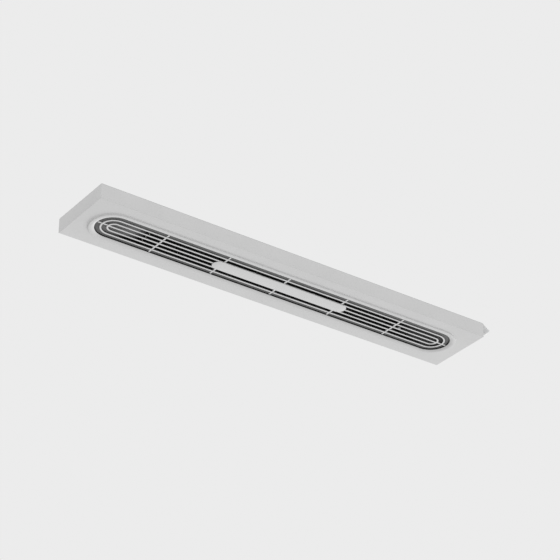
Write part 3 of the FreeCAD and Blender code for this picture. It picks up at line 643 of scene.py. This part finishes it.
def bezel_outline():
    """Section of the bezel as (radius, z): edge, flat underside, flare, throat wall and hollow back."""
    low, high = low_of["bezel_ring"].z, high_of["bezel_ring"].z
    sweep = math.acos(1 - (FACE_Z - low) / LIP_FLARE)
    flare_r = RIM_OUTER + LIP_FLARE * math.sin(sweep)
    back, inside, hollow = low + BEZEL_WALL, RIM_OUTER + BEZEL_WALL, LIP_R - BEZEL_WALL
    points = arc((LIP_R - LIP_EDGE, low + LIP_EDGE), LIP_EDGE, 0, -90, 2 * EDGE_STEPS)
    points += arc((flare_r, low + LIP_FLARE), LIP_FLARE, -90, -90 - math.degrees(sweep), LIP_STEPS)
    corners = [(RIM_OUTER, high), (inside, high), (inside, FACE_Z), (inside + LIP_SEAT, FACE_Z)]
    corners += [(flare_r, back), (hollow, back), (hollow, FACE_Z), (high_of["bezel_ring"].y, FACE_Z)]
    return points + [Vector(corner) for corner in corners]


def make_bezel():
    """The lip's section carried once round the stadium."""
    bm = bmesh.new()
    outline = bezel_outline()
    rows = []
    for cap_x, start in ((CAP_X, -90), (-CAP_X, 90)):
        for step in range(CAP_STEPS + 1):
            angle = math.radians(start + 180 * step / CAP_STEPS)
            ring = [Vector((cap_x + p.x * math.cos(angle), p.x * math.sin(angle), p.y)) for p in outline]
            rows.append([bm.verts.new(point) for point in ring])
    bridge(bm, rows, closed=True)
    build("bezel", bm, "bezel_ring")


def make_band(node, piece, inner, edge):
    """Flat stadium band inside the node's outline, between its lowest and highest z."""
    bm = bmesh.new()
    z = (low_of[node].z, high_of[node].z)
    solid(bm, stadium(high_of[node].y, CAP_X), z, (edge, edge), [stadium(inner, CAP_X)])
    build(piece, bm, node)


def make_bars():
    """Flat strips of the guard: five across, one along the middle and a tie at each end."""
    bars = {"cross_bar_%d" % number: "cross_strip_%d" % number for number in range(1, CROSS_BARS + 1)}
    bars.update(spine_bar="spine_strip", end_tie_left="tie_strip_left", end_tie_right="tie_strip_right")
    for node, piece in bars.items():
        bm = bmesh.new()
        rounded_block(bm, low_of[node], high_of[node], EDGE)
        build(piece, bm, node)


def stud_centres():
    """The centre plate's four studs, each midway between two cross bars."""
    return [(sx * CROSS_PITCH / 2, sy * RING_PITCH / 2) for sx in (-1, 1) for sy in (-1, 1)]


def make_centre_plate():
    """Blank plate with a rolled front edge, and its four studs behind."""
    bm = bmesh.new()
    node = "centre_plate"
    radius = high_of[node].y
    outline = stadium(radius, high_of[node].x - radius)
    solid(bm, outline, (low_of[node].z, FACE_Z), (PLATE_ROLL, HAIRLINE))
    for centre in stud_centres():
        solid(bm, circle(centre, STUD_R, STUD_STEPS), (FACE_Z, high_of[node].z), (0, EDGE))
    build("blank_plate", bm, node)


def make_straps():
    """The two straps that the studs go through."""
    bm = bmesh.new()
    node = "plate_straps"
    z = (low_of[node].z, high_of[node].z)
    y = (low_of[node].y, high_of[node].y)
    for side in (-1, 1):
        x = (side * CROSS_PITCH / 2 - STRAP_WIDTH / 2, side * CROSS_PITCH / 2 + STRAP_WIDTH / 2)
        holes = [circle(centre, STUD_R, STUD_STEPS) for centre in stud_centres() if centre[0] * side > 0]
        solid(bm, rectangle(x, y, EDGE), z, (EDGE, EDGE), holes)
    build("plate_fixings", bm, node)


# ---------------------------------------------------------------- duct path and louvres

def make_ramp(node, piece, side):
    """Scoop that rises from the end of the opening, and its half-round landing."""
    bm = bmesh.new()
    low, high = low_of["end_ramp_right"], high_of["end_ramp_right"]
    foot = high_of["cassette_end_right"].x - END_FLANGE
    run, rise = CAP_X - foot, high.z - low.z
    radius = (run * run + rise * rise) / (2 * rise)
    sweep = math.degrees(math.asin(run / radius))
    centre = (CAP_X, low.z + radius)
    outline = arc(centre, radius, -90 - sweep, -90, RAMP_STEPS)
    outline += arc(centre, radius - WALL, -90, -90 - sweep, RAMP_STEPS)
    half_width = DUCT_HALF_Y - HOLE_GAP
    solid(bm, outline, (-half_width, half_width), (HAIRLINE, HAIRLINE), place=along_y)
    landing = arc((CAP_X, 0), high.y, -90, 90, CAP_STEPS // 2)
    solid(bm, landing, (low.z, low.z + WALL), (HAIRLINE, HAIRLINE))
    if side < 0:
        bmesh.ops.rotate(bm, verts=bm.verts, matrix=Matrix.Rotation(math.pi, 3, "Z"))
    build(piece, bm, node)


def make_channel(node, piece, foot, flange):
    """Folded wall beside the duct path: upright web with a foot and a top flange, both turned outwards."""
    bm = bmesh.new()
    low, high = low_of[node], high_of[node]
    inner = DUCT_HALF_Y
    corners = [(inner, low.z, RAIL_BEND), (foot, low.z, EDGE), (foot, low.z + WALL, EDGE),
               (inner + WALL, low.z + WALL, EDGE), (inner + WALL, high.z - WALL, EDGE),
               (flange, high.z - WALL, EDGE), (flange, high.z, EDGE), (inner, high.z, RAIL_BEND)]
    if high.y < 0:
        corners = [(-u, v, radius) for u, v, radius in reversed(corners)]
    solid(bm, rounded_polygon(corners), (low.x, high.x), (HAIRLINE, HAIRLINE), place=along_x)
    build(piece, bm, node)


def make_seal():
    """Foam strip round the duct opening."""
    bm = bmesh.new()
    low, high = low_of["plenum_seal"], high_of["plenum_seal"]
    hole = rectangle((-DUCT_HALF_X, DUCT_HALF_X), (-DUCT_HALF_Y, DUCT_HALF_Y))
    solid(bm, rectangle((low.x, high.x), (low.y, high.y), EDGE), (low.z, high.z), (EDGE, EDGE), [hole])
    build("seal_strip", bm, "plenum_seal")


def blade_outline(y, z, half_chord):
    """Upright section of a blade: beaded edges and a round boss on the pivot axis, as (y, z) points."""
    half_web = BLADE_WEB / 2
    lean_boss = math.degrees(math.asin(half_web / BLADE_BOSS))
    lean_bead = math.degrees(math.asin(half_web / BLADE_BEAD))
    reach = half_chord - BLADE_BEAD
    points = arc((y, z), BLADE_BOSS, lean_boss - 90, 90 - lean_boss, BOSS_STEPS)
    points += arc((y, z + reach), BLADE_BEAD, lean_bead - 90, 270 - lean_bead, BEAD_STEPS)
    points += arc((y, z), BLADE_BOSS, 90 + lean_boss, 270 - lean_boss, BOSS_STEPS)
    points += arc((y, z - reach), BLADE_BEAD, 90 + lean_bead, 450 - lean_bead, BEAD_STEPS)
    return points


def make_blade(number):
    """Louvre blade, upright as at rest, with the bore for its pivot pins."""
    bm = bmesh.new()
    node = "louvre_blade_%d" % number
    low, high = low_of[node], high_of[node]
    y, z = (low.y + high.y) / 2, (low.z + high.z) / 2
    outline = blade_outline(y, z, (high.z - low.z) / 2)
    bore = circle((y, z), BLADE_BORE, BORE_STEPS)
    solid(bm, outline, (low.x, high.x), (HAIRLINE, HAIRLINE), [bore], place=along_x)
    build("blade_%d" % number, bm, node)


# ---------------------------------------------------------------- stage

FLOOR_Z = -3.3
FLOOR_HALF = 40
BACKGROUND = 0.838

# The camera looks up at the front. Its view is turned from +Y towards +X and raised, in degrees.
AIM = Vector((-0.021, -0.0296, 0))
AZIMUTH = 35.51
PITCH = 30.17
DISTANCE = 5.517
LENS = 138.6


def make_world():
    world = bpy.data.worlds.new("studio")
    world.use_nodes = True
    background = world.node_tree.nodes["Background"]
    background.inputs["Color"].default_value = (BACKGROUND, BACKGROUND, BACKGROUND, 1)
    bpy.context.scene.world = world


def make_floor():
    bm = bmesh.new()
    bmesh.ops.create_grid(bm, x_segments=FLOOR_CELLS, y_segments=FLOOR_CELLS, size=FLOOR_HALF)
    bmesh.ops.translate(bm, vec=(0, 0, FLOOR_Z), verts=bm.verts)
    mesh = bpy.data.meshes.new("floor")
    bm.to_mesh(mesh)
    bm.free()
    mesh.materials.append(pale_floor("floor"))
    floor = bpy.data.objects.new("floor", mesh)
    bpy.context.scene.collection.objects.link(floor)
    return floor


def towards(azimuth, rise):
    """Unit vector at an angle from +X towards +Y and a rise above the horizontal, in degrees."""
    a, b = math.radians(azimuth), math.radians(rise)
    return Vector((math.cos(b) * math.cos(a), math.cos(b) * math.sin(a), math.sin(b)))


def soft_light(name, source, irradiance, softness, see_through):
    """Broad parallel light from the source direction, which the floor doesn't block."""
    data = bpy.data.lights.new(name, "SUN")
    data.energy = irradiance
    data.angle = math.radians(softness)
    light = bpy.data.objects.new(name, data)
    light.rotation_mode = "QUATERNION"
    light.rotation_quaternion = (-source).to_track_quat("-Z", "Y")
    bpy.context.scene.collection.objects.link(light)
    light.light_linking.blocker_collection = see_through


def make_lights(floor):
    """Key from the right end and fill from the near side, both a little below the horizontal."""
    see_through = bpy.data.collections.new("not_blocking_lights")
    see_through.objects.link(floor)
    see_through.collection_objects[0].light_linking.link_state = "EXCLUDE"
    soft_light("key", towards(azimuth=25, rise=-15), irradiance=1.95, softness=24, see_through=see_through)
    soft_light("fill", towards(azimuth=265, rise=-12), irradiance=0.24, softness=40, see_through=see_through)


def make_camera():
    heading = towards(90 - AZIMUTH, PITCH)
    data = bpy.data.cameras.new("camera")
    data.lens = LENS
    data.clip_end = 2 * FLOOR_HALF
    camera = bpy.data.objects.new("camera", data)
    camera.location = AIM + Vector((0, 0, FACE_Z)) - heading * DISTANCE
    camera.rotation_mode = "QUATERNION"
    camera.rotation_quaternion = heading.to_track_quat("-Z", "Y")
    bpy.context.scene.collection.objects.link(camera)
    bpy.context.scene.camera = camera


def make_grille():
    make_casing()
    make_end_cap("end_cap_left", "cap_left", -1, with_flange=True)
    make_end_cap("end_cap_right", "cap_right", 1, with_flange=False)
    make_mounting_plate()
    make_bezel()
    make_band("outer_guard_ring", "outer_ring", high_of["outer_guard_ring"].y - BAR_WIDTH, EDGE)
    make_band("inner_guard_ring", "inner_ring", high_of["inner_guard_ring"].y - BAR_WIDTH, EDGE)
    make_band("guard_rim", "rim", RIM_OUTER - RIM_THICK, EDGE)
    make_band("aperture_plate", "aperture_margin", DUCT_HALF_Y, EDGE)
    make_bars()
    make_centre_plate()
    make_straps()


def make_duct_path():
    make_ramp("end_ramp_left", "ramp_left", -1)
    # The right ramp is the left one turned round; the charcoal coat of its slot is painted shade.
    make_ramp("end_ramp_right", "ramp_right", 1)
    for side in ("near", "far"):
        make_channel("cassette_rail_" + side, "rail_" + side, RAIL_FOOT_Y, FLANGE_Y)
        make_channel("plenum_wall_" + side, "plenum_side_" + side, FLANGE_Y, FLANGE_Y)
    make_seal()
    for number in range(1, LOUVRES + 1):
        make_blade(number)


coat_cad_nodes()
make_grille()
make_duct_path()
make_world()
make_lights(make_floor())
make_camera()
bpy.context.scene.view_settings.view_transform = "Standard"
